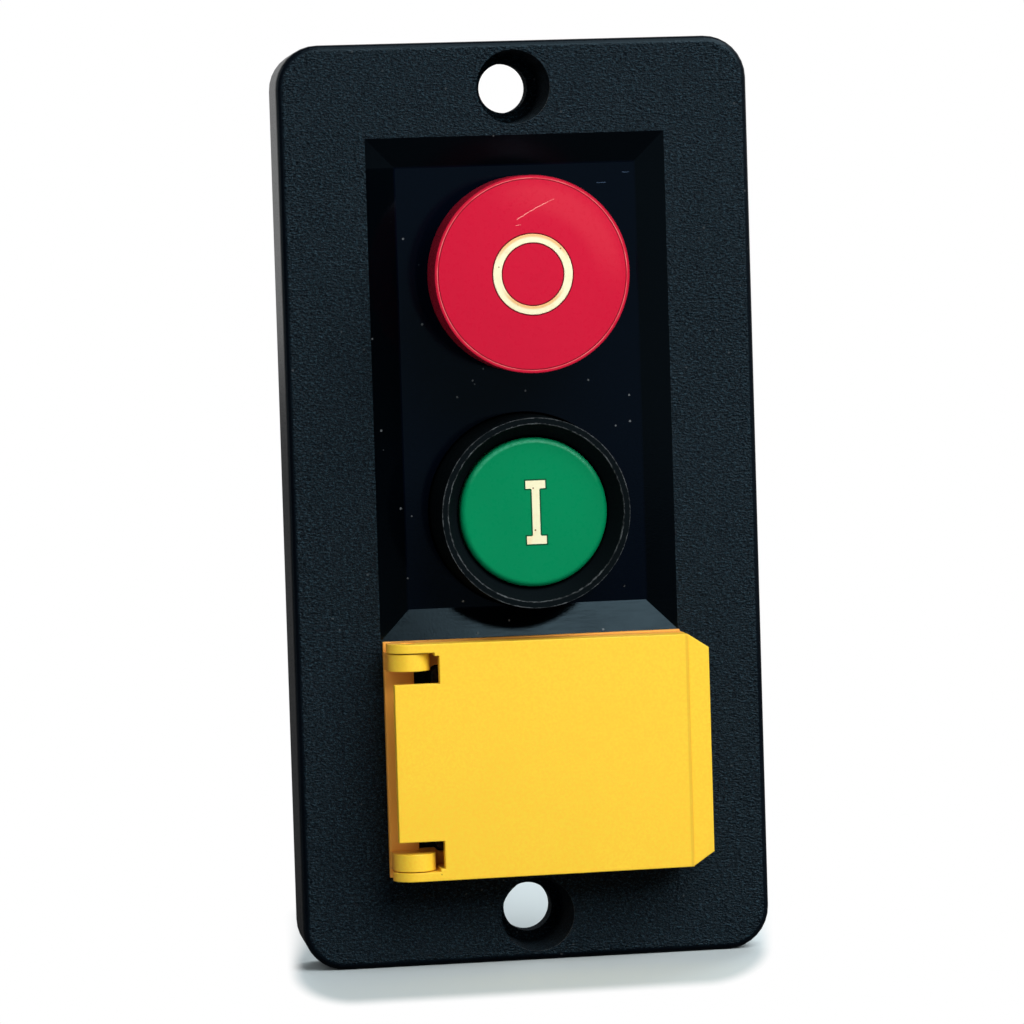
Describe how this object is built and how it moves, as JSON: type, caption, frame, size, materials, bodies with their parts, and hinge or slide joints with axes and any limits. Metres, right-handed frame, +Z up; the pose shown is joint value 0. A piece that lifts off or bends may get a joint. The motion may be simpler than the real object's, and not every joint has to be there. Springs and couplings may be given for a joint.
{
  "type": "no-volt release switch",
  "caption": "Panel-mounted no-volt release switch: raised red stop button, shrouded green start button and a yellow hinged flap over a direction rocker on a black plate.",
  "frame": {"origin": "midway between the two mounting holes, on the back plane of the front plate that lies on the machine's panel", "axes": "+Z up the long side of the plate, +X to the right seen from the front, -Y out of the panel towards the user"},
  "size_m": [0.067, 0.0649, 0.13],
  "materials": {
    "plate_black": "fine spark grain, recess polished",
    "module_black": "smooth moulded",
    "base_black": "moulded phenolic",
    "stop_red": "smooth moulded",
    "start_green": "smooth moulded",
    "flap_yellow": "satin moulded",
    "nylon": "natural nylon",
    "carrier_brown": "moulded phenolic",
    "rocker_black": "smooth moulded",
    "spring_steel": "bright wire",
    "screw_steel": "zinc plated",
    "core_iron": "laminated iron",
    "contact_copper": "bright copper alloy",
    "tab_brass": "bright brass",
    "coil_copper": "varnished copper wire",
    "bobbin_white": "natural moulding",
    "pad_rubber": "moulded rubber"
  },
  "bodies": {
    "housing": {"front_plate": "plate_black", "module_cover": "module_black", "module_base": "base_black", "module_screws": "screw_steel", "cover_screws": "screw_steel", "magnet_core": "core_iron", "shading_rings": "contact_copper", "core_pad": "pad_rubber", "coil_bobbin": "bobbin_white", "coil_winding": "coil_copper", "coil_terminals": "tab_brass", "main_terminals": "tab_brass", "stop_contacts": "tab_brass", "flap_base": "flap_yellow", "hinge_pins": "flap_yellow", "rocker_body": "rocker_black", "rocker_axle": "screw_steel", "rocker_terminals": "tab_brass", "stop_spring": "spring_steel", "start_spring": "spring_steel", "carrier_springs": "spring_steel"},
    "stop_button": {"stop_cap": "stop_red", "stop_plunger": "nylon", "stop_plunger_clip": "spring_steel", "stop_bridge": "contact_copper", "stop_bridge_clip": "spring_steel"},
    "start_button": {"start_cap": "start_green", "start_plunger": "nylon", "start_plunger_clip": "spring_steel"},
    "carrier": {"contact_carrier": "carrier_brown", "armature": "core_iron", "armature_rivets": "spring_steel", "contact_bridges": "contact_copper", "bridge_springs": "spring_steel"},
    "flap": {"flap_lid": "flap_yellow"},
    "rocker": {"rocker_paddle": "rocker_black", "rocker_plungers": "nylon", "rocker_springs": "spring_steel"},
    "blades": {"rocker_blades": "contact_copper"}
  },
  "joints": [
    {"name": "stop_press", "type": "slide", "parent": "housing", "child": "stop_button", "axis": [0, 1, 0], "range_m": [0, 0.004], "stiffness_N_per_m": 900, "springref_m": -0.004, "deforming": ["stop_spring"]},
    {"name": "start_press", "type": "slide", "parent": "housing", "child": "start_button", "axis": [0, 1, 0], "range_m": [0, 0.004], "stiffness_N_per_m": 700, "springref_m": -0.004, "deforming": ["start_spring"]},
    {"name": "carrier_travel", "type": "slide", "parent": "housing", "child": "carrier", "axis": [0, 1, 0], "range_m": [0, 0.004], "stiffness_N_per_m": 250, "springref_m": -0.004, "deforming": ["carrier_springs"]},
    {"name": "flap_hinge", "type": "hinge", "parent": "housing", "child": "flap", "pos_m": [-0.018, -0.016, -0.03545], "axis": [0, 0, -1], "range_deg": [0, 90]},
    {"name": "rocker_tilt", "type": "hinge", "parent": "housing", "child": "rocker", "pos_m": [0.00185, -0.0095, -0.03545], "axis": [0, 0, 1], "range_deg": [-8, 8]},
    {"name": "blade_tilt", "type": "hinge", "parent": "housing", "child": "blades", "pos_m": [0.00185, 0.002, -0.03545], "axis": [0, 0, 1], "range_deg": [-7.5, 7.5]}
  ],
  "couplings": [
    {"joint": "carrier_travel", "follows": "start_press", "ratio": 1},
    {"joint": "blade_tilt", "follows": "rocker_tilt", "ratio": -0.75}
  ]
}
